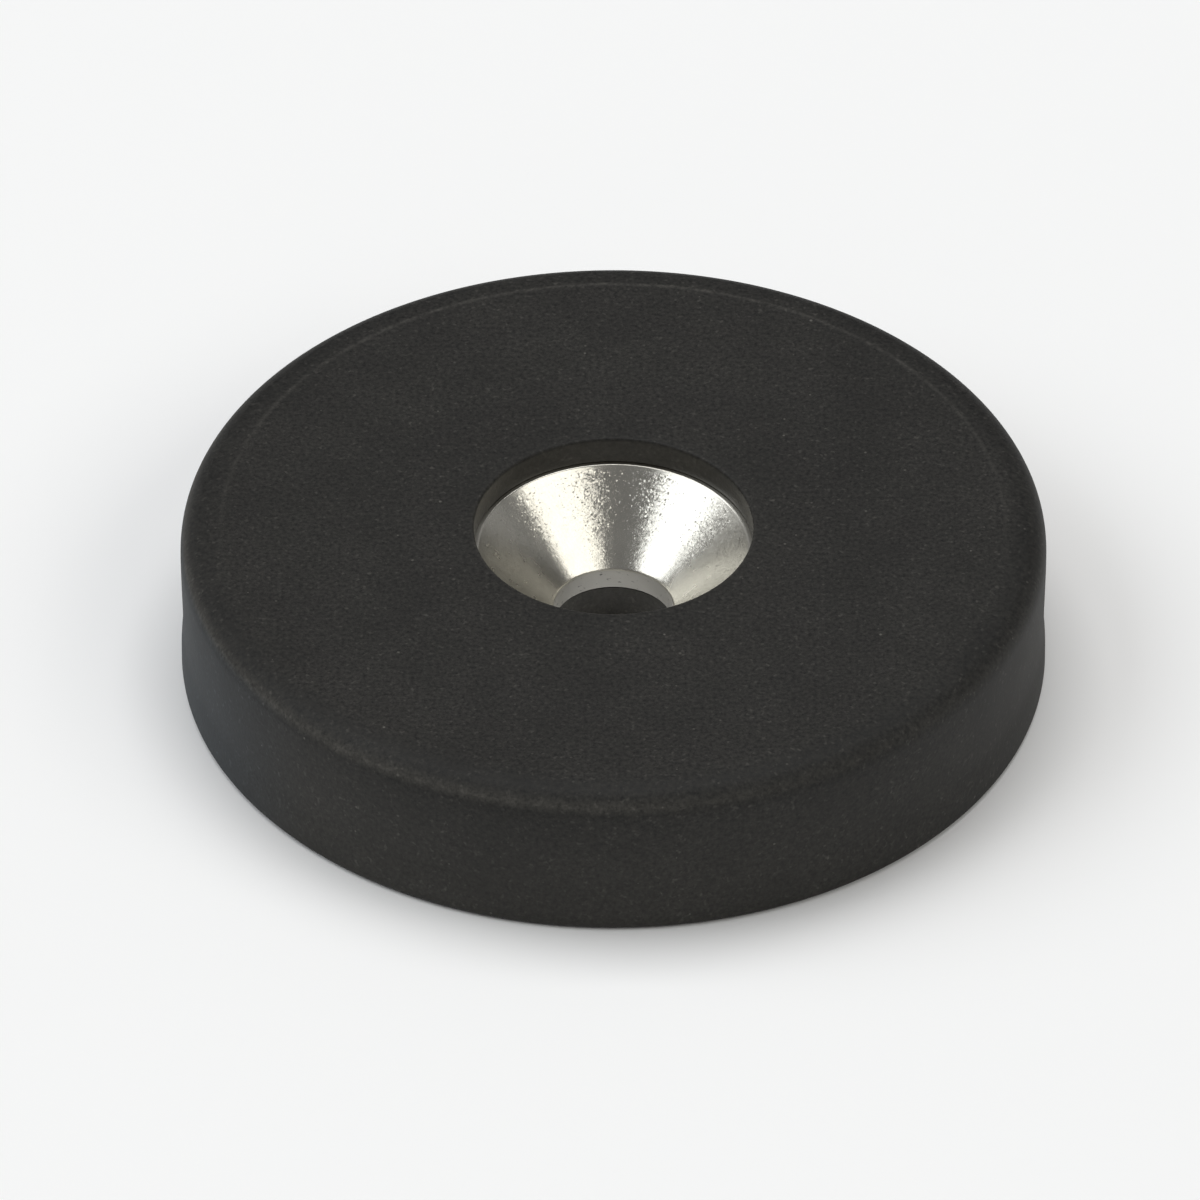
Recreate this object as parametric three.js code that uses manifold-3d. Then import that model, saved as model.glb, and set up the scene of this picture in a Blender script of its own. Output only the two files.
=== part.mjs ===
// Rubber-coated disc magnet with a countersunk steel bush in its centre.
// Millimetres, +Z up. The origin is the centre of the underside, and the holding face is on top.
//
// A steel back plate carries a ring of disc magnets with alternating poles. The spigot of a turned
// bush is pressed into the plate's centre hole. A one-piece rubber jacket is moulded round all of
// it: it fills the webs between the magnets, and its lip laps over the rim of the bush.

import * as THREE from 'three';
import { mergeVertices } from 'three/addons/utils/BufferGeometryUtils.js';
import Module from 'manifold-3d';

// ---------------------------------------------------------------- driving dimensions

const OUTER_DIAMETER = 31.0;
const HEIGHT = 6.0;

// rubber walls
const TOP_WALL = 1.0; // over the magnets, which is also the depth of the lip round the bush
const BOTTOM_WALL = 1.35; // under the back plate
const SIDE_WALL = 1.25; // outside the back plate

// rubber outline
const TOP_EDGE_WIDTH = 1.47; // the top edge starts to round over this far in from the side
const TOP_EDGE_DROP = 1.05; // and meets the side this far below the holding face
const TOP_EDGE_POWER = 2.6; // superellipse exponent: 2 is an ellipse, a larger one is squarer
const BOTTOM_EDGE_RADIUS = 0.25;
const FOOT_HEIGHT = 0.8; // the side is full width up to here
const WAIST_HEIGHT = 1.9; // and narrowest here
const WAIST_DEPTH = 0.06; // how far the side draws in at the waist
const LIP_CHAMFER = 0.1; // on the upper edge of the lip

// bush
const BORE_DIAMETER = 4.3; // clears an M4 screw
const COUNTERSINK_DIAMETER = 9.7;
const COUNTERSINK_ANGLE = 90; // included angle, in degrees
const RIM_LEDGE = 0.15; // flat rim that shows between the countersink and the lip
const LIP_LAP = 0.5; // how far the rubber lip laps over the rim
const SPIGOT_WALL = 0.65; // metal between the countersink and the corner under the bush's head
const BOTTOM_HOLE_STEP = 0.1; // the rubber stands back this far from the edge of the hole

// back plate and magnets
const PLATE_THICKNESS = 1.5;
const MAGNET_COUNT = 6;
const MAGNET_EDGE = 0.15; // plate that the magnets leave bare along its rim
const BUSH_WEB = 0.55; // between the bush and each magnet
const MAGNET_WEB = 0.8; // the least between two magnets
const MAGNET_CHAMFER = 0.15;

// fits
const BOND_GAP = 0.05; // bond film between rubber and metal, and between magnets and plate
const PRESS_GAP = 0.02; // between the bush's spigot and the hole in the plate

// roundness: the segments are multiples of 4, so that the widest points lie on X and Y
const JACKET_SEGMENTS = 72;
const BUSH_SEGMENTS = 72;
const MAGNET_SEGMENTS = 36;
const TOP_EDGE_STEPS = 7;
const BOTTOM_EDGE_STEPS = 3;
const WAIST_STEPS = 4;

const CUT_PAST = 1.0; // a cutting tool runs this far past the face that it cuts through

// ---------------------------------------------------------------- levels and radii

const plateBottom = BOTTOM_WALL + BOND_GAP;
const plateTop = plateBottom + PLATE_THICKNESS;
const seatLevel = plateTop + BOND_GAP; // the magnets and the head of the bush stand here
const lipLevel = HEIGHT - TOP_WALL; // underside of the rubber over the magnets and the rim
const metalTop = lipLevel - BOND_GAP; // top of the magnets and of the bush

const outerRadius = OUTER_DIAMETER / 2;
const plateRadius = outerRadius - SIDE_WALL - BOND_GAP;

const boreRadius = BORE_DIAMETER / 2;
const coneRadius = COUNTERSINK_DIAMETER / 2;
const coneSlope = Math.tan(THREE.MathUtils.degToRad(COUNTERSINK_ANGLE / 2));
const lipRadius = coneRadius + RIM_LEDGE;
const bushRadius = lipRadius + LIP_LAP;
const spigotRadius = holeRadiusAt(seatLevel) + SPIGOT_WALL;
const bottomHoleRadius = holeRadiusAt(plateBottom) + BOTTOM_HOLE_STEP;

const magnetsInside = bushRadius + BUSH_WEB;
const magnetsOutside = plateRadius - MAGNET_EDGE;
const magnetCircle = (magnetsInside + magnetsOutside) / 2; // runs through the magnets' centres
const roomAcross = magnetsOutside - magnetsInside;
const roomAround = 2 * magnetCircle * Math.sin(Math.PI / MAGNET_COUNT) - MAGNET_WEB;
const magnetRadius = Math.min(roomAcross, roomAround) / 2;

// Radius of the bush's hole: the countersink down to the bore, and the bore below it.
function holeRadiusAt(level) {
  return Math.max(boreRadius, coneRadius - (metalTop - level) * coneSlope);
}

// ---------------------------------------------------------------- solids

const wasm = await Module();
wasm.setup();

// A manifold solid turned about Z from an outline of [radius, level] points, which runs from the
// axis at the bottom to the axis at the top.
function turned(outline, segments) {
  const points = outline.map(([radius, level]) => new THREE.Vector2(radius, level));
  const lathe = new THREE.LatheGeometry(points, segments).rotateX(Math.PI / 2);
  lathe.deleteAttribute('normal');
  lathe.deleteAttribute('uv');
  const merged = mergeVertices(lathe, 1e-5);
  const mesh = new wasm.Mesh({
    numProp: 3,
    vertProperties: new Float32Array(merged.attributes.position.array),
    triVerts: new Uint32Array(merged.index.array),
  });
  return new wasm.Manifold(mesh);
}

function cylinder(radius, bottom, top, segments) {
  return turned([[0, bottom], [radius, bottom], [radius, top], [0, top]], segments);
}

// A cylinder with both its edges broken.
function chamferedDisc(radius, bottom, top, chamfer, segments) {
  return turned([
    [0, bottom],
    [radius - chamfer, bottom],
    [radius, bottom + chamfer],
    [radius, top - chamfer],
    [radius - chamfer, top],
    [0, top],
  ], segments);
}

function toGeometry(solid) {
  const mesh = solid.getMesh();
  const geometry = new THREE.BufferGeometry();
  geometry.setAttribute('position', new THREE.BufferAttribute(mesh.vertProperties, 3));
  geometry.setIndex(new THREE.BufferAttribute(mesh.triVerts, 1));
  geometry.computeVertexNormals();
  return geometry;
}

// The centres of the magnets, the first on +X.
function magnetPlaces() {
  return Array.from({ length: MAGNET_COUNT }, (_, i) => {
    const angle = (i / MAGNET_COUNT) * 2 * Math.PI;
    return [magnetCircle * Math.cos(angle), magnetCircle * Math.sin(angle)];
  });
}

// ---------------------------------------------------------------- bush, plate and magnets

function bushSolid() {
  const blank = turned([
    [0, plateBottom],
    [spigotRadius, plateBottom],
    [spigotRadius, seatLevel],
    [bushRadius, seatLevel],
    [bushRadius, metalTop],
    [0, metalTop],
  ], BUSH_SEGMENTS);
  const bore = cylinder(boreRadius, plateBottom - CUT_PAST, metalTop, BUSH_SEGMENTS);
  const countersink = turned([
    [0, metalTop - coneRadius / coneSlope],
    [coneRadius + CUT_PAST * coneSlope, metalTop + CUT_PAST],
    [0, metalTop + CUT_PAST],
  ], BUSH_SEGMENTS);
  return blank.subtract(bore.add(countersink));
}

function plateSolid() {
  const holeRadius = spigotRadius + PRESS_GAP;
  const disc = cylinder(plateRadius, plateBottom, plateTop, JACKET_SEGMENTS);
  return disc.subtract(
    cylinder(holeRadius, plateBottom - CUT_PAST, plateTop + CUT_PAST, BUSH_SEGMENTS),
  );
}

function magnetSolid([x, y]) {
  const disc = chamferedDisc(
    magnetRadius, seatLevel, metalTop, MAGNET_CHAMFER, MAGNET_SEGMENTS,
  );
  return disc.translate([x, y, 0]);
}

// ---------------------------------------------------------------- rubber jacket

function quarterArc(steps, place) {
  return Array.from({ length: steps + 1 }, (_, i) => place((i / steps) * (Math.PI / 2)));
}

// The side's radius at a level: it draws in from the foot to the waist and eases out again above.
function sideRadiusAt(level) {
  const top = HEIGHT - TOP_EDGE_DROP;
  const far = level < WAIST_HEIGHT
    ? (WAIST_HEIGHT - level) / (WAIST_HEIGHT - FOOT_HEIGHT)
    : (level - WAIST_HEIGHT) / (top - WAIST_HEIGHT);
  const nearWaist = 0.5 + 0.5 * Math.cos(Math.PI * far);
  return outerRadius - WAIST_DEPTH * nearWaist;
}

function jacketOutline() {
  const top = HEIGHT - TOP_EDGE_DROP;
  const bottomEdge = quarterArc(BOTTOM_EDGE_STEPS, (angle) => [
    outerRadius - BOTTOM_EDGE_RADIUS * (1 - Math.sin(angle)),
    BOTTOM_EDGE_RADIUS * (1 - Math.cos(angle)),
  ]);
  const levels = [FOOT_HEIGHT];
  for (let i = 1; i < WAIST_STEPS; i += 1) {
    levels.push(FOOT_HEIGHT + (top - FOOT_HEIGHT) * (i / WAIST_STEPS));
  }
  const side = levels.map((level) => [sideRadiusAt(level), level]);
  const topEdge = quarterArc(TOP_EDGE_STEPS, (angle) => [
    outerRadius - TOP_EDGE_WIDTH * (1 - Math.cos(angle) ** (2 / TOP_EDGE_POWER)),
    top + TOP_EDGE_DROP * Math.sin(angle) ** (2 / TOP_EDGE_POWER),
  ]);
  return [[0, 0], ...bottomEdge, ...side, ...topEdge, [0, HEIGHT]];
}

// The room inside the rubber for all the metal, one bond film larger than it.
function metalPocket() {
  const floor = plateBottom - BOND_GAP;
  const plate = cylinder(plateRadius + BOND_GAP, floor, seatLevel, JACKET_SEGMENTS);
  const bush = cylinder(bushRadius + BOND_GAP, plateBottom, lipLevel, BUSH_SEGMENTS);
  const magnets = magnetPlaces().map(([x, y]) => {
    const room = cylinder(magnetRadius + BOND_GAP, plateBottom, lipLevel, MAGNET_SEGMENTS);
    return room.translate([x, y, 0]);
  });
  return magnets.reduce((pocket, room) => pocket.add(room), plate.add(bush));
}

function jacketSolid() {
  const lipOpening = turned([
    [0, plateBottom],
    [lipRadius, plateBottom],
    [lipRadius, HEIGHT - LIP_CHAMFER],
    [lipRadius + LIP_CHAMFER + CUT_PAST, HEIGHT + CUT_PAST],
    [0, HEIGHT + CUT_PAST],
  ], BUSH_SEGMENTS);
  const bottomHole = cylinder(bottomHoleRadius, -CUT_PAST, plateTop, BUSH_SEGMENTS);
  return turned(jacketOutline(), JACKET_SEGMENTS)
    .subtract(metalPocket())
    .subtract(lipOpening)
    .subtract(bottomHole);
}

// ---------------------------------------------------------------- assembly

const rubber = new THREE.MeshStandardMaterial({
  color: 0x353534, roughness: 0.85, metalness: 0.0,
});
const nickel = new THREE.MeshStandardMaterial({
  color: 0xcfcbc0, roughness: 0.35, metalness: 1.0,
});
const platedMagnet = new THREE.MeshStandardMaterial({
  color: 0xd8d6d0, roughness: 0.2, metalness: 1.0,
});
const mildSteel = new THREE.MeshStandardMaterial({
  color: 0x9c9a96, roughness: 0.45, metalness: 1.0,
});

const magnet = new THREE.Group();

function addPiece(name, solid, material) {
  const mesh = new THREE.Mesh(toGeometry(solid), material);
  mesh.name = name;
  magnet.add(mesh);
}

addPiece('rubber_jacket', jacketSolid(), rubber);
addPiece('countersunk_bush', bushSolid(), nickel);
addPiece('back_plate', plateSolid(), mildSteel);
magnetPlaces().forEach((place, i) => {
  addPiece(`magnet_${i + 1}`, magnetSolid(place), platedMagnet);
});

export default magnet;
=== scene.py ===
"""The looks of a rubber-coated countersunk disc magnet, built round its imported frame.

Lengths in this file are millimetres in the row frame, +Z up with the origin in the centre of the
underside. MM turns them into Blender's metres where a mesh, light or camera is made.
"""

import math

import bmesh
import bpy
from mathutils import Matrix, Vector, noise

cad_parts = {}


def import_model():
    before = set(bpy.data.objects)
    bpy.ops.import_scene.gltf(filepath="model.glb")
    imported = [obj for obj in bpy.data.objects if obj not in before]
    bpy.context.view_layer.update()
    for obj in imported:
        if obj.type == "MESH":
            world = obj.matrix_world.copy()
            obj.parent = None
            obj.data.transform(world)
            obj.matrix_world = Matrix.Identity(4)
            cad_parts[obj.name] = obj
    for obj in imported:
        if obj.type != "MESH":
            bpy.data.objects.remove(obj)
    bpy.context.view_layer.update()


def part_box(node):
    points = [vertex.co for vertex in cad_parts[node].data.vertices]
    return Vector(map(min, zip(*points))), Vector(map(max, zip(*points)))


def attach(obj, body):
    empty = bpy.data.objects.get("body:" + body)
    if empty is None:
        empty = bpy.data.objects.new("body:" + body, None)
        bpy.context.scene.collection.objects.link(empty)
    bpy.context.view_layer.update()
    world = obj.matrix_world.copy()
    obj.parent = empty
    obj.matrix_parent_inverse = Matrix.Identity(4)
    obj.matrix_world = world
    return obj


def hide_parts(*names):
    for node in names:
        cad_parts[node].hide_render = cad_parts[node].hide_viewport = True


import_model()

MM = 0.001

# ------------------------------------------------------------------ sizes

def millimetre_box(node):
    return [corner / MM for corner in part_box(node)]


_, jacket_high = millimetre_box("rubber_jacket")
bush_low, bush_high = millimetre_box("countersunk_bush")
plate_low, plate_high = millimetre_box("back_plate")
MAGNETS = [f"magnet_{i}" for i in range(1, 7)]

OUTER_R = jacket_high.x
HEIGHT = jacket_high.z
BUSH_R = bush_high.x
METAL_TOP = bush_high.z
PLATE_R = plate_high.x
BOND_GAP = 0.05

# rubber
TOP_EDGE_WIDTH = 1.47
TOP_EDGE_DROP = 1.05
TOP_EDGE_POWER = 2.6
BOTTOM_EDGE_R = 0.25
FOOT_HEIGHT = 0.8
WAIST_HEIGHT = 1.9
WAIST_DEPTH = 0.06
LIP_R = 5.0
LIP_LEVEL = METAL_TOP + 0.005  # the rubber is bonded to the bush
LIP_EDGE_R = 0.1
LIP_FOOT = 0.03  # bevel where the lip meets the bush
BOTTOM_HOLE_R = 2.25
BOTTOM_HOLE_EDGE_R = 0.08
POCKET_TOP = plate_high.z + BOND_GAP
POCKET_FLOOR = plate_low.z - BOND_GAP
POCKET_OVERLAP = 0.3  # how far the cutter of the magnet pockets reaches into the plate's pocket
RING_R = OUTER_R - TOP_EDGE_WIDTH  # where the flat top meets the rounded edge
RING_RISE = 0.012  # the ridge that the mould's parting left there
RING_WIDTH = 0.09
RING_WANDER = 0.05
RIDGE_BAND = 0.4  # the outer part of the flat top, with closer edge loops for the ridge

# plate and magnets
PLATE_HOLE_R = 3.52
PLATE_HOLE_BREAK = 0.1
PLATE_EDGE_R = 0.15
MAGNET_EDGE_R = 0.2

# bush
BORE_R = 2.15
CONE_R = 4.85
CONE_FOOT = METAL_TOP - (CONE_R - BORE_R)
RIM_BREAK = 0.1
SPIGOT_R = 3.5
SPIGOT_BREAK = 0.1
BUSH_BREAK = 0.08

SEGMENTS = 384
INNER_SEGMENTS = 192
MAGNET_SEGMENTS = 96
SHARP_ANGLE = 35


# ------------------------------------------------------------------ outlines

def straight(start, end, steps=1):
    """Points from start up to but not including end."""
    return [
        (start[0] + (end[0] - start[0]) * i / steps, start[1] + (end[1] - start[1]) * i / steps)
        for i in range(steps)
    ]


def arc(centre, radius, begin, end, steps):
    """Points on an arc from the angle begin to end, in degrees from outwards, anticlockwise."""
    angles = [math.radians(begin + (end - begin) * i / steps) for i in range(steps + 1)]
    return [
        (centre[0] + radius * math.cos(a), centre[1] + radius * math.sin(a)) for a in angles
    ]


def side_radius(level):
    """The radius of the side wall, which is narrowest at its waist."""
    top = HEIGHT - TOP_EDGE_DROP
    if level < WAIST_HEIGHT:
        far = (WAIST_HEIGHT - level) / (WAIST_HEIGHT - FOOT_HEIGHT)
    else:
        far = (level - WAIST_HEIGHT) / (top - WAIST_HEIGHT)
    return OUTER_R - WAIST_DEPTH * (0.5 + 0.5 * math.cos(math.pi * min(far, 1)))


def top_edge(steps):
    """The superellipse from the side up to the flat top."""
    points = []
    for i in range(steps + 1):
        a = (i / steps) * math.pi / 2
        out = max(math.cos(a), 0) ** (2 / TOP_EDGE_POWER)
        up = math.sin(a) ** (2 / TOP_EDGE_POWER)
        points.append((
            OUTER_R - TOP_EDGE_WIDTH * (1 - out),
            HEIGHT - TOP_EDGE_DROP * (1 - up),
        ))
    return points


# ------------------------------------------------------------------ meshes

def turned(name, outline, segments, shape=None):
    """A closed ring turned about Z from a closed outline.

    shape moves a point: (r, z, angle) -> (r, z).
    """
    count = len(outline)
    vertices = []
    for s in range(segments):
        angle = 2 * math.pi * s / segments
        for r, z in outline:
            if shape:
                r, z = shape(r, z, angle)
            vertices.append((r * math.cos(angle) * MM, r * math.sin(angle) * MM, z * MM))
    faces = []
    for s in range(segments):
        here, there = s * count, (s + 1) % segments * count
        for i in range(count):
            j = (i + 1) % count
            faces.append((here + i, there + i, there + j, here + j))
    return finished(name, vertices, faces)


def solid_disc(outline, segments, middle, first_angle=0.0):
    """Vertices and faces of a solid turned about the upright axis at middle, with flat ends."""
    count = len(outline)
    vertices, faces = [], []
    for s in range(segments):
        angle = first_angle + 2 * math.pi * s / segments
        for r, z in outline:
            x, y = middle[0] + r * math.cos(angle), middle[1] + r * math.sin(angle)
            vertices.append((x * MM, y * MM, z * MM))
        here, there = s * count, (s + 1) % segments * count
        for i in range(count - 1):
            faces.append((here + i, there + i, there + i + 1, here + i + 1))
    faces.append([s * count for s in reversed(range(segments))])
    faces.append([s * count + count - 1 for s in range(segments)])
    return vertices, faces


def finished(name, vertices, faces):
    """An object with outward normals, smooth but for its sharp edges."""
    mesh = bpy.data.meshes.new(name)
    mesh.from_pydata(vertices, [], faces)
    work = bmesh.new()
    work.from_mesh(mesh)
    bmesh.ops.recalc_face_normals(work, faces=work.faces)
    work.to_mesh(mesh)
    work.free()
    mesh.shade_smooth()
    mesh.set_sharp_from_angle(angle=math.radians(SHARP_ANGLE))
    piece = bpy.data.objects.new(name, mesh)
    bpy.context.scene.collection.objects.link(piece)
    return piece


def cut(piece, cutter):
    """Take the cutter out of the piece, and bake the result into the piece's mesh."""
    modifier = piece.modifiers.new("pockets", "BOOLEAN")
    modifier.operation = "DIFFERENCE"
    modifier.solver = "EXACT"
    modifier.object = cutter
    evaluated = piece.evaluated_get(bpy.context.evaluated_depsgraph_get())
    baked = bpy.data.meshes.new_from_object(evaluated)
    baked.set_sharp_from_angle(angle=math.radians(SHARP_ANGLE))
    piece.modifiers.clear()
    spare = [piece.data, cutter.data]
    piece.data = baked
    bpy.data.objects.remove(cutter)
    for mesh in spare:
        bpy.data.meshes.remove(mesh)


# ------------------------------------------------------------------ node helpers

class Nodes:
    """A material's node tree with short calls for what the materials below need."""

    def __init__(self, name):
        self.material = bpy.data.materials.new(name)
        self.material.use_nodes = True
        self.tree = self.material.node_tree
        self.tree.nodes.clear()
        output = self.tree.nodes.new("ShaderNodeOutputMaterial")
        self.shader = self.tree.nodes.new("ShaderNodeBsdfPrincipled")
        self.tree.links.new(self.shader.outputs["BSDF"], output.inputs["Surface"])
        coordinates = self.tree.nodes.new("ShaderNodeTexCoord").outputs["Object"]
        self.place = self.vector("SCALE", coordinates, scale=1 / MM)  # in millimetres
        split = self.tree.nodes.new("ShaderNodeSeparateXYZ")
        self.tree.links.new(self.place, split.inputs[0])
        self.x, self.y, self.z = split.outputs
        self.radius = self.math("SQRT", self.math(
            "ADD", self.math("MULTIPLY", self.x, self.x), self.math("MULTIPLY", self.y, self.y)
        ))

    def put(self, value, socket):
        if isinstance(value, bpy.types.NodeSocket):
            self.tree.links.new(value, socket)
        else:
            socket.default_value = value

    def math(self, operation, *values, clamp=False):
        node = self.tree.nodes.new("ShaderNodeMath")
        node.operation = operation
        node.use_clamp = clamp
        for value, socket in zip(values, node.inputs):
            self.put(value, socket)
        return node.outputs[0]

    def times(self, *values):
        product = values[0]
        for value in values[1:]:
            product = self.math("MULTIPLY", product, value)
        return product

    def plus(self, a, b):
        return self.math("ADD", a, b)

    def vector(self, operation, *values, scale=None):
        node = self.tree.nodes.new("ShaderNodeVectorMath")
        node.operation = operation
        for value, socket in zip(values, node.inputs):
            self.put(value, socket)
        if scale is not None:
            self.put(scale, node.inputs["Scale"])
        return node.outputs[0]

    def combine(self, x, y, z):
        node = self.tree.nodes.new("ShaderNodeCombineXYZ")
        for value, socket in zip((x, y, z), node.inputs):
            self.put(value, socket)
        return node.outputs[0]

    def noise(self, per_mm, detail=2.0, roughness=0.5, at=None):
        node = self.tree.nodes.new("ShaderNodeTexNoise")
        node.inputs["Scale"].default_value = per_mm
        node.inputs["Detail"].default_value = detail
        node.inputs["Roughness"].default_value = roughness
        self.tree.links.new(at or self.place, node.inputs["Vector"])
        return node.outputs["Fac"]

    def cells(self, per_mm, at=None):
        """(distance to the cell's point, a random colour for the cell)"""
        node = self.tree.nodes.new("ShaderNodeTexVoronoi")
        node.inputs["Scale"].default_value = per_mm
        self.tree.links.new(at or self.place, node.inputs["Vector"])
        return node.outputs["Distance"], node.outputs["Color"]

    def channels(self, colour):
        node = self.tree.nodes.new("ShaderNodeSeparateColor")
        self.tree.links.new(colour, node.inputs[0])
        return node.outputs

    def between(self, value, low, high, out_low=0.0, out_high=1.0):
        """Goes from out_low to out_high as the value goes from low to high, and stays there."""
        node = self.tree.nodes.new("ShaderNodeMapRange")
        node.clamp = True
        self.put(value, node.inputs["Value"])
        for name, number in (
            ("From Min", low), ("From Max", high), ("To Min", out_low), ("To Max", out_high)
        ):
            self.put(number, node.inputs[name])
        return node.outputs["Result"]

    def smooth(self, value, low, high):
        """Goes from 0 to 1, gently at both ends, as the value goes from low to high."""
        node = self.tree.nodes.new("ShaderNodeMapRange")
        node.interpolation_type = "SMOOTHSTEP"
        self.put(value, node.inputs["Value"])
        node.inputs["From Min"].default_value = low
        node.inputs["From Max"].default_value = high
        return node.outputs["Result"]

    def near(self, value, centre, width):
        """1 at the centre, falling to 0 a width away on either side."""
        away = self.math("ABSOLUTE", self.math("SUBTRACT", value, centre))
        return self.between(away, 0.0, width, 1.0, 0.0)

    def mix(self, amount, a, b):
        node = self.tree.nodes.new("ShaderNodeMix")
        node.data_type = "RGBA"
        self.put(amount, node.inputs[0])
        self.put(a, node.inputs[6])
        self.put(b, node.inputs[7])
        return node.outputs[2]

    def bump(self, height, strength, distance_mm, normal=None):
        node = self.tree.nodes.new("ShaderNodeBump")
        self.put(strength, node.inputs["Strength"])
        node.inputs["Distance"].default_value = distance_mm * MM
        self.put(height, node.inputs["Height"])
        if normal is not None:
            self.put(normal, node.inputs["Normal"])
        return node.outputs["Normal"]

    def surface(self, colour, roughness, normal):
        self.put(colour, self.shader.inputs["Base Color"])
        self.put(roughness, self.shader.inputs["Roughness"])
        self.put(normal, self.shader.inputs["Normal"])
        return self.material


# ------------------------------------------------------------------ rubber material

RUBBER_BLACK = (0.0160, 0.0152, 0.0135, 1)
# painted reflection: the bluish sheen of cool light for the left of the side wall
RUBBER_PAINTED_BLUE_SHEEN = (0.0160, 0.0186, 0.0205, 1)
RUBBER_SPECULAR = 0.24
# how much of its own tone each trait adds to the rubber; the scuff bands carry painted highlights
# too, the lip's edge is a painted highlight and the hole's wall a painted sheen
CHALK, DUST, SCUFF_AND_PAINTED_HIGHLIGHT, LIP_PAINTED_HIGHLIGHT, HOLE_PAINTED_SHEEN = 1.8, 4.5, 2.6, 0.8, 2.7
DUST_CELLS = 2.1  # per millimetre
DUST_EMPTY = 0.5  # the share of cells without a speck
SCUFF_RING_WIDTH = 0.12
SHOULDER_LEVEL, SHOULDER_WIDTH = HEIGHT - 0.53, 0.30


def rubber_dust(n):
    """Small pale specks, one at most in each cell of a coarse lattice."""
    distance, random = n.cells(DUST_CELLS)
    pick, paleness, _ = n.channels(random)
    size = n.between(pick, DUST_EMPTY, 1.0, 0.05, 0.15)
    present = n.math("GREATER_THAN", pick, DUST_EMPTY)
    spot = n.between(n.math("DIVIDE", distance, size), 0.5, 1.0, 1.0, 0.0)
    return n.times(spot, present, n.math("POWER", paleness, 2.0))


def rubber_scuffs_and_highlights(n, on_top):
    """Bands painted pale, part wear and part painted highlight: one where the flat top ends, one
    on the shoulder of the rounded edge.
    """
    patchy = n.between(n.noise(1.9, 4.0, 0.7), 0.36, 0.64)
    powder = n.between(n.noise(8.0, 2.0, 0.6), 0.35, 0.62)
    ring = n.times(
        n.near(n.radius, RING_R, SCUFF_RING_WIDTH), on_top,
        # painted highlight: the ridge's pale line is made stronger at the back, where it catches
        # the light
        n.between(n.y, -2.0, 11.0, 0.1, 1.0),  # stronger at the back
        n.plus(n.times(patchy, 0.8), 0.15),
    )
    shoulder_wear_and_highlight = n.times(
        n.near(n.z, SHOULDER_LEVEL, SHOULDER_WIDTH),
        n.smooth(n.radius, RING_R + 0.3, RING_R + 0.7),
        n.plus(n.times(patchy, 0.6), 0.6),
        # painted highlight: the shoulder band is made stronger on the left, towards the left
        # light
        n.between(n.x, -4.0, 9.0, 1.0, 0.25),  # stronger on the left
    )
    return n.times(n.math("MAXIMUM", ring, shoulder_wear_and_highlight), n.plus(n.times(powder, 0.6), 0.5))


def rubber_material():
    n = Nodes("black_rubber")
    on_top = n.smooth(n.z, HEIGHT - 0.9, HEIGHT - 0.3)
    in_hole = n.times(
        n.smooth(n.radius, LIP_R + 0.08, LIP_R + 0.01), n.smooth(n.z, HEIGHT, HEIGHT - 0.2)
    )
    grain = n.noise(6.5, 2.0, 0.65)
    mottle = n.noise(0.5, 4.0, 0.6)
    patches = n.noise(0.16, 2.0, 0.5)
    flecks = n.noise(5.0, 1.0, 0.5)

    # fine powdery grain over slow cloudy patches
    tone = n.times(
        n.between(grain, 0.25, 0.75, 0.2, 1.8),
        n.between(mottle, 0.3, 0.7, 0.86, 1.14),
        n.between(patches, 0.35, 0.65, 0.9, 1.1),
    )
    chalk = n.times(n.between(flecks, 0.62, 0.78), n.between(mottle, 0.3, 0.6, 0.4, 1.0))
    tone = n.plus(tone, n.times(chalk, CHALK))
    tone = n.plus(tone, n.times(rubber_dust(n), DUST))

    # painted shade round the curve of the edge, dimming a highlight there; paler where it is
    # scuffed and where highlights are painted
    painted_curve_shade = n.near(n.radius, RING_R + 0.7, 0.6)
    tone = n.times(tone, n.between(painted_curve_shade, 0.0, 1.0, 1.0, 0.72))
    scuffs_and_highlights = rubber_scuffs_and_highlights(n, on_top)
    tone = n.plus(tone, n.times(scuffs_and_highlights, SCUFF_AND_PAINTED_HIGHLIGHT))
    # painted highlight: a pale line along the lip's top edge, stronger at the front
    lip_painted_highlight = n.times(n.near(n.radius, LIP_R + 0.05, 0.09), n.between(n.y, 4.0, -2.0), on_top)
    tone = n.plus(tone, n.times(lip_painted_highlight, LIP_PAINTED_HIGHLIGHT))
    # painted sheen: the lip wall of the hole is made paler in place of a glossy reflection
    tone = n.plus(tone, n.times(in_hole, HOLE_PAINTED_SHEEN))

    # painted light: the side wall is a little paler, and more so towards its foot, lifting the
    # shade near the floor; less so on the right
    painted_side_light = n.times(
        n.plus(n.between(n.z, 5.3, 4.6, 0.0, 0.25), n.between(n.z, 4.6, 0.6, 0.0, 0.75)),
        n.smooth(n.radius, OUTER_R - 0.9, OUTER_R - 0.3),
        n.between(n.x, 0.0, 14.0, 1.0, 0.4),
    )
    tone = n.plus(tone, painted_side_light)

    # a faint bluish painted reflection on the left of the side wall, a sheen of cool light
    painted_blue_sheen = n.times(n.smooth(n.x, -10.5, -15.0), n.smooth(n.z, HEIGHT - 0.4, HEIGHT - 0.9))
    colour = n.vector("SCALE", n.mix(painted_blue_sheen, RUBBER_BLACK, RUBBER_PAINTED_BLUE_SHEEN), scale=tone)

    roughness = n.plus(n.between(grain, 0.3, 0.7, 0.56, 0.66), n.times(scuffs_and_highlights, 0.1))
    roughness = n.math("SUBTRACT", roughness, n.times(in_hole, 0.28), clamp=True)
    n.shader.inputs["Specular IOR Level"].default_value = RUBBER_SPECULAR
    return n.surface(colour, roughness, n.bump(grain, 0.4, 0.018, n.bump(mottle, 0.3, 0.05)))


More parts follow.
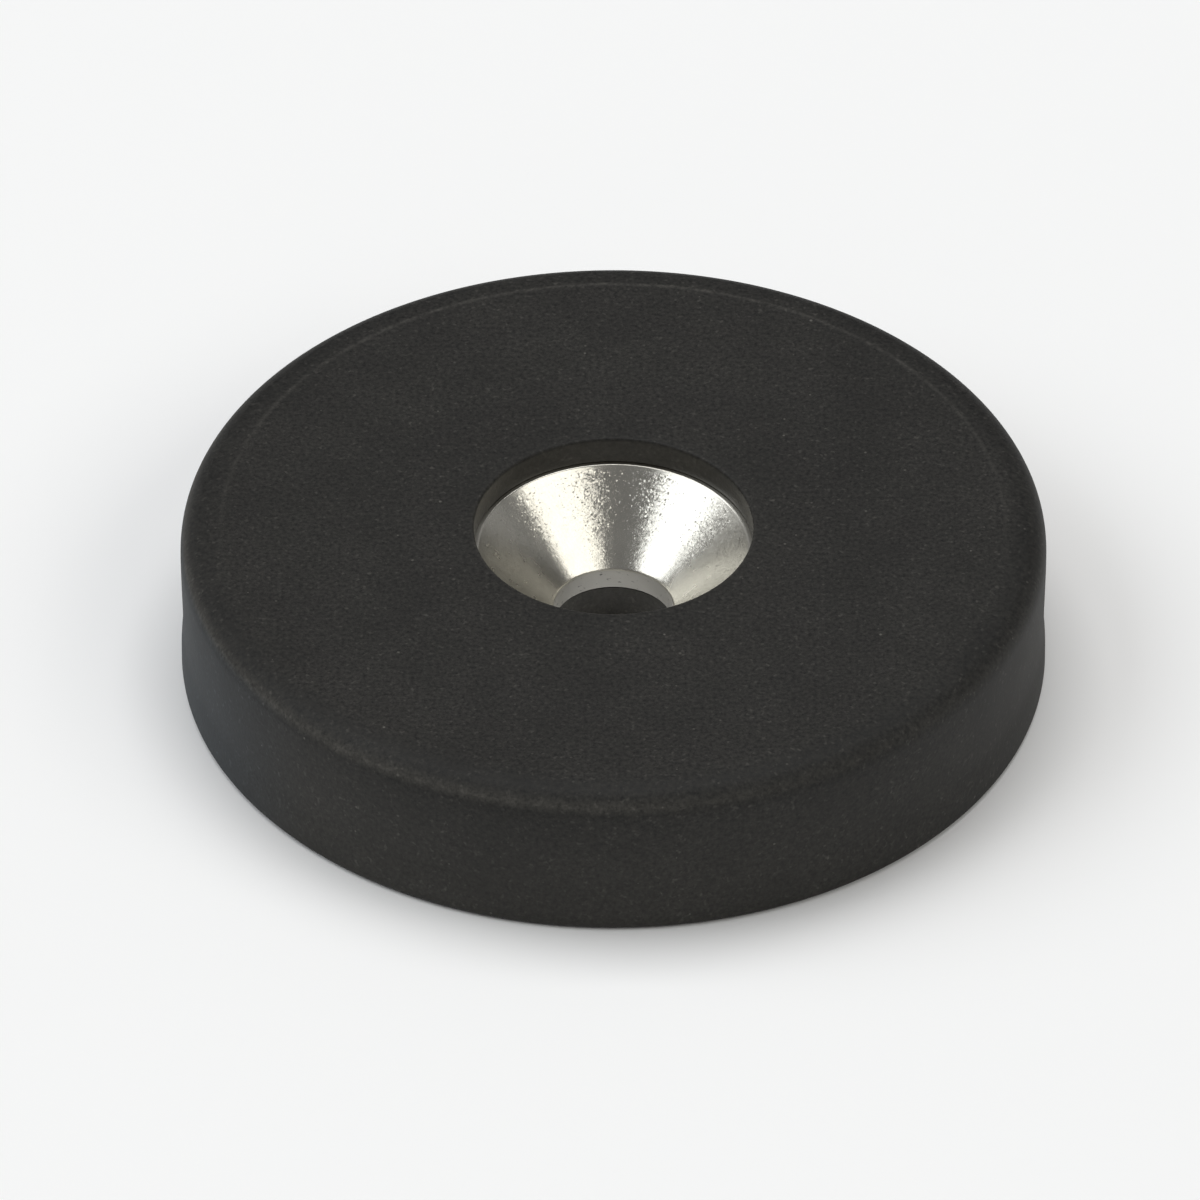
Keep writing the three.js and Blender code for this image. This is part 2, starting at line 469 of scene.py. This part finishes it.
# ------------------------------------------------------------------ metal materials

NICKEL_LIGHT, NICKEL_DEEP = (0.68, 0.66, 0.60, 1), (0.63, 0.61, 0.55, 1)
NICKEL_PIT = (0.40, 0.38, 0.33, 1)
BORE_METAL, BORE_SCRATCH = (0.66, 0.645, 0.605, 1), (0.22, 0.21, 0.20, 1)
MARKS_R = 3.5  # the radius at which the marks on the cone have their true size
FACETS = 20.0  # per millimetre
FACET_TILT, SPARKLE_TILT = 0.06, 0.44


def nickel_material():
    n = Nodes("nickel_plate")
    # on a cylinder round the axis, so that the marks keep their size down the cone
    unit = n.math("DIVIDE", MARKS_R, n.math("MAXIMUM", n.radius, 0.1))
    round_x, round_y = n.times(n.x, unit), n.times(n.y, unit)
    wrapped = n.combine(round_x, round_y, n.z)
    streaked = n.combine(round_x, round_y, n.times(n.z, 2.0))
    stretched = n.combine(round_x, round_y, n.times(n.z, 4.0))
    across = n.math("ABSOLUTE", round_x)
    in_bore = n.times(
        n.smooth(n.z, CONE_FOOT + 0.04, CONE_FOOT - 0.06),
        n.smooth(n.radius, BORE_R + 0.2, BORE_R + 0.08),
    )
    pits = n.noise(15.0, 2.0, 0.6, wrapped)
    turning = n.noise(4.0, 2.0, 0.6, stretched)
    peel = n.noise(2.4, 2.0, 0.5, wrapped)
    cloud = n.noise(0.9, 3.0, 0.6)
    scratches = n.noise(2.0, 3.0, 0.7, stretched)

    bright = n.mix(cloud, NICKEL_LIGHT, NICKEL_DEEP)
    bright = n.mix(n.between(pits, 0.32, 0.62, 0.16, 0.0), bright, NICKEL_PIT)
    dull = n.mix(n.between(scratches, 0.30, 0.38), BORE_SCRATCH, BORE_METAL)
    colour = n.mix(in_bore, bright, dull)

    roughness = n.plus(
        n.between(peel, 0.3, 0.7, 0.19, 0.24), n.between(across, 2.7, 3.35, 0.0, 0.08)
    )
    roughness = n.plus(roughness, n.times(in_bore, 0.35))

    # tiny facets that sparkle: most lie nearly flat, few are tilted, fewest at the cone's foot
    lower = n.smooth(n.z, CONE_FOOT + 1.9, CONE_FOOT + 0.5)
    fine = n.times(
        n.between(lower, 0.0, 1.0, 1.0, 0.4),
        n.smooth(n.z, METAL_TOP - 0.03, METAL_TOP - 0.2),
        n.between(across, 0.7, 2.0, 1.0, 0.5),
    )
    _, facets = n.cells(FACETS, wrapped)
    sparse = n.noise(13.0, 1.0, 0.5, streaked)
    steepness = n.times(n.between(sparse, 0.48, 0.70, FACET_TILT, SPARKLE_TILT), fine)
    tilt = n.vector("SCALE", n.vector("SUBTRACT", facets, (0.5, 0.5, 0.5)), scale=steepness)
    tooled = n.bump(turning, 0.4, 0.006, n.bump(peel, 0.5, 0.006))
    pitted = n.bump(pits, fine, 0.005, tooled)
    n.shader.inputs["Metallic"].default_value = 1.0
    return n.surface(colour, roughness, n.vector("NORMALIZE", n.vector("ADD", pitted, tilt)))


def steel_material():
    n = Nodes("plate_steel")
    turned_lines = n.noise(1.0, 3.0, 0.6, n.combine(n.times(n.radius, 9.0), 0.0, n.z))
    cloud = n.noise(0.4, 4.0, 0.6)
    colour = n.mix(cloud, (0.28, 0.27, 0.26, 1), (0.42, 0.41, 0.40, 1))
    n.shader.inputs["Metallic"].default_value = 1.0
    roughness = n.between(turned_lines, 0.3, 0.7, 0.32, 0.5)
    return n.surface(colour, roughness, n.bump(turned_lines, 0.3, 0.01))


def magnet_material():
    n = Nodes("magnet_nickel")
    fine = n.noise(9.0, 2.0, 0.5)
    cloud = n.noise(0.7, 3.0, 0.6)
    colour = n.mix(cloud, (0.66, 0.64, 0.60, 1), (0.56, 0.54, 0.50, 1))
    n.shader.inputs["Metallic"].default_value = 1.0
    return n.surface(colour, n.between(cloud, 0.3, 0.7, 0.12, 0.22), n.bump(fine, 0.2, 0.005))


def floor_material():
    n = Nodes("pale_floor")
    colour = n.mix(n.noise(0.02, 2.0, 0.5), (0.915, 0.915, 0.915, 1), (0.93, 0.93, 0.93, 1))
    n.put(colour, n.shader.inputs["Base Color"])
    n.shader.inputs["Roughness"].default_value = 0.9
    n.shader.inputs["Specular IOR Level"].default_value = 0.1
    return n.material


# ------------------------------------------------------------------ pieces

def wander(angle, seed, turns):
    """Smooth noise round a circle, about -1 to 1."""
    return noise.noise(Vector((turns * math.cos(angle), turns * math.sin(angle), seed)))


def jacket_shape(r, z, angle):
    """Moulded rubber isn't perfectly true: the ridge at the edge of the flat wanders a little."""
    if z > HEIGHT - 0.08 and r > LIP_R + 0.5:
        ring = RING_R + RING_WANDER * wander(angle, 1.7, 2.5)
        rise = math.exp(-((r - ring) / RING_WIDTH) ** 2)
        strength = 0.55 + 0.45 * wander(angle, 4.1, 9.0)
        z -= RING_RISE * (1 - rise * strength)
    return r, z


def magnet_pockets():
    """A cutter for the room round each magnet, open towards the plate."""
    vertices, faces = [], []
    for node in MAGNETS:
        low, high = millimetre_box(node)
        radius = (high.x - low.x) / 2 + BOND_GAP
        middle = ((low.x + high.x) / 2, (low.y + high.y) / 2)
        outline = [(radius, POCKET_TOP - POCKET_OVERLAP), (radius, high.z + BOND_GAP)]
        first = len(vertices)
        half_step = math.pi / MAGNET_SEGMENTS
        more, sides = solid_disc(outline, MAGNET_SEGMENTS, middle, half_step)
        vertices += more
        faces += [[first + i for i in side] for side in sides]
    return finished("pockets", vertices, faces)


def rubber_jacket():
    foot_r = OUTER_R - BOTTOM_EDGE_R
    outline = (
        arc((BOTTOM_HOLE_R + BOTTOM_HOLE_EDGE_R, BOTTOM_HOLE_EDGE_R),
            BOTTOM_HOLE_EDGE_R, 180, 270, 4)
        + straight((BOTTOM_HOLE_R + 0.2, 0), (foot_r, 0), 8)
        + arc((foot_r, BOTTOM_EDGE_R), BOTTOM_EDGE_R, -90, 0, 8)
    )
    side_top = HEIGHT - TOP_EDGE_DROP
    side_steps = 20
    for i in range(1, side_steps):
        level = BOTTOM_EDGE_R + (side_top - BOTTOM_EDGE_R) * i / side_steps
        outline.append((side_radius(level) if level > FOOT_HEIGHT else OUTER_R, level))
    outline += top_edge(26)
    outline += straight((RING_R - 0.03, HEIGHT), (RING_R - RIDGE_BAND, HEIGHT), 12)
    outline += straight((RING_R - RIDGE_BAND, HEIGHT), (LIP_R + LIP_EDGE_R, HEIGHT), 16)
    outline += arc((LIP_R + LIP_EDGE_R, HEIGHT - LIP_EDGE_R), LIP_EDGE_R, 90, 180, 6)
    outline += straight((LIP_R, HEIGHT - LIP_EDGE_R - 0.05), (LIP_R, LIP_LEVEL + 0.04), 4)
    outline += [
        (LIP_R, LIP_LEVEL + LIP_FOOT),
        (LIP_R + LIP_FOOT, LIP_LEVEL),
        (BUSH_R + BOND_GAP, LIP_LEVEL),
        (BUSH_R + BOND_GAP, POCKET_TOP),
        (PLATE_R + BOND_GAP, POCKET_TOP),
        (PLATE_R + BOND_GAP, POCKET_FLOOR),
        (BOTTOM_HOLE_R, POCKET_FLOOR),
    ]
    jacket = turned("rubber_jacket_skin", outline, SEGMENTS, jacket_shape)
    cut(jacket, magnet_pockets())
    return jacket


def bush():
    bottom = bush_low.z
    rim_r = CONE_R + RIM_BREAK * 0.414  # where the rounded rim starts
    outline = [
        (BORE_R + BUSH_BREAK, bottom),
        (SPIGOT_R - SPIGOT_BREAK, bottom),
        (SPIGOT_R, bottom + SPIGOT_BREAK),
        (SPIGOT_R, POCKET_TOP),
        (BUSH_R - BUSH_BREAK, POCKET_TOP),
        (BUSH_R, POCKET_TOP + BUSH_BREAK),
        (BUSH_R, METAL_TOP - BUSH_BREAK),
        (BUSH_R - BUSH_BREAK, METAL_TOP),
    ]
    outline += straight((BUSH_R - 0.2, METAL_TOP), (rim_r, METAL_TOP), 4)
    outline += arc((rim_r, METAL_TOP - RIM_BREAK), RIM_BREAK, 90, 135, 5)
    slope_start = (CONE_R - RIM_BREAK * 0.35, METAL_TOP - RIM_BREAK * 0.35)
    slope_end = (BORE_R + 0.05, CONE_FOOT + 0.05)
    outline += straight(slope_start, slope_end, 40)
    outline += [slope_end, (BORE_R + 0.01, CONE_FOOT), (BORE_R, CONE_FOOT - 0.06)]
    outline += straight((BORE_R, CONE_FOOT - 0.12), (BORE_R, bottom + BUSH_BREAK), 6)
    outline.append((BORE_R, bottom + BUSH_BREAK))
    return turned("countersunk_bush_turned", outline, SEGMENTS)


def back_plate():
    bottom, top = plate_low.z, plate_high.z
    flat_end = PLATE_R - PLATE_EDGE_R
    hole_edge = PLATE_HOLE_R + PLATE_HOLE_BREAK
    outline = (
        straight((hole_edge, bottom), (flat_end, bottom), 6)
        + arc((flat_end, bottom + PLATE_EDGE_R), PLATE_EDGE_R, -90, 0, 5)
        + arc((flat_end, top - PLATE_EDGE_R), PLATE_EDGE_R, 0, 90, 5)
        + straight((flat_end - 0.2, top), (hole_edge, top), 6)
        + [(hole_edge, top), (PLATE_HOLE_R, top - PLATE_HOLE_BREAK),
           (PLATE_HOLE_R, bottom + PLATE_HOLE_BREAK)]
    )
    return turned("back_plate_turned", outline, INNER_SEGMENTS)


def magnet(node):
    """A disc with rounded edges where the CAD magnet is."""
    low, high = millimetre_box(node)
    inner = (high.x - low.x) / 2 - MAGNET_EDGE_R
    middle = ((low.x + high.x) / 2, (low.y + high.y) / 2)
    outline = (
        arc((inner, low.z + MAGNET_EDGE_R), MAGNET_EDGE_R, -90, 0, 5)
        + arc((inner, high.z - MAGNET_EDGE_R), MAGNET_EDGE_R, 0, 90, 5)
    )
    return finished(f"{node}_disc", *solid_disc(outline, MAGNET_SEGMENTS, middle))


def add(piece, node, material):
    piece.data.materials.append(material)
    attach(piece, "root")
    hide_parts(node)


add(rubber_jacket(), "rubber_jacket", rubber_material())
add(bush(), "countersunk_bush", nickel_material())
add(back_plate(), "back_plate", steel_material())
magnet_nickel = magnet_material()
for node in MAGNETS:
    add(magnet(node), node, magnet_nickel)


# ------------------------------------------------------------------ floor

FLOOR_HALF = 6000
FLOOR_LEVEL = -0.02


def floor():
    mesh = bpy.data.meshes.new("floor")
    corners = [(-1, -1), (1, -1), (1, 1), (-1, 1)]
    mesh.from_pydata(
        [(x * FLOOR_HALF * MM, y * FLOOR_HALF * MM, FLOOR_LEVEL * MM) for x, y in corners],
        [], [(0, 1, 2, 3)],
    )
    piece = bpy.data.objects.new("floor", mesh)
    mesh.materials.append(floor_material())
    bpy.context.scene.collection.objects.link(piece)


floor()


# ------------------------------------------------------------------ camera

VIEW_ELEVATION = 38.73
VIEW_DISTANCE = 930.0
SENSOR_MM = 36.0
FRAME_WIDTH_MM = 43.105  # width of the picture at the object's distance
AIM_RIGHT, AIM_UP = -0.482, 2.018  # the point at the picture's centre, across and up the view


def camera():
    tilt = math.radians(VIEW_ELEVATION)
    right = Vector((1, 0, 0))
    up = Vector((0, math.sin(tilt), math.cos(tilt)))
    forward = Vector((0, math.cos(tilt), -math.sin(tilt)))
    data = bpy.data.cameras.new("camera")
    data.sensor_width = SENSOR_MM
    data.lens = SENSOR_MM * VIEW_DISTANCE / FRAME_WIDTH_MM
    data.clip_start, data.clip_end = 0.01, 10.0
    item = bpy.data.objects.new("camera", data)
    item.location = (right * AIM_RIGHT + up * AIM_UP - forward * VIEW_DISTANCE) * MM
    item.rotation_mode = "QUATERNION"
    item.rotation_quaternion = forward.to_track_quat("-Z", "Y")
    bpy.context.scene.collection.objects.link(item)
    bpy.context.scene.camera = item


camera()


# ------------------------------------------------------------------ light

LIGHT_DISTANCE = 1500
WARM, NEUTRAL, COOL = (1.0, 0.985, 0.93), (1.0, 1.0, 1.0), (0.945, 0.975, 1.0)
WORLD_RADIANCE = 0.19


def panel(name, azimuth, elevation, width, height, radiance, colour, distance=LIGHT_DISTANCE):
    """A rectangular soft light that faces the object.

    Azimuth is in degrees from +X, anticlockwise.
    """
    a, e = math.radians(azimuth), math.radians(elevation)
    out = Vector((math.cos(a) * math.cos(e), math.sin(a) * math.cos(e), math.sin(e)))
    data = bpy.data.lights.new(name, "AREA")
    data.shape = "RECTANGLE"
    data.size, data.size_y = width * MM, height * MM
    data.energy = radiance * math.pi * data.size * data.size_y
    data.color = colour
    item = bpy.data.objects.new(name, data)
    item.location = out * distance * MM
    item.rotation_mode = "QUATERNION"
    item.rotation_quaternion = (-out).to_track_quat("-Z", "Y")
    item.visible_camera = False
    bpy.context.scene.collection.objects.link(item)


def world(radiance):
    made = bpy.data.worlds.new("studio")
    made.use_nodes = True
    background = made.node_tree.nodes["Background"]
    background.inputs["Color"].default_value = (*NEUTRAL, 1)
    background.inputs["Strength"].default_value = radiance
    bpy.context.scene.world = made


panel("left_softbox", 181, 44.5, 1530, 900, 2.15, COOL)
panel("right_softbox", 325, 42, 1390, 700, 1.8, WARM)
panel("top_softbox", 90, 76, 1400, 950, 3.2, NEUTRAL, distance=1600)
panel("back_right_wall", 38, 14, 1500, 640, 0.14, NEUTRAL)
panel("back_left_wall", 133, 12, 1300, 600, 0.20, NEUTRAL)
world(WORLD_RADIANCE)

bpy.context.scene.view_settings.view_transform = "Standard"
bpy.context.scene.view_settings.look = "None"
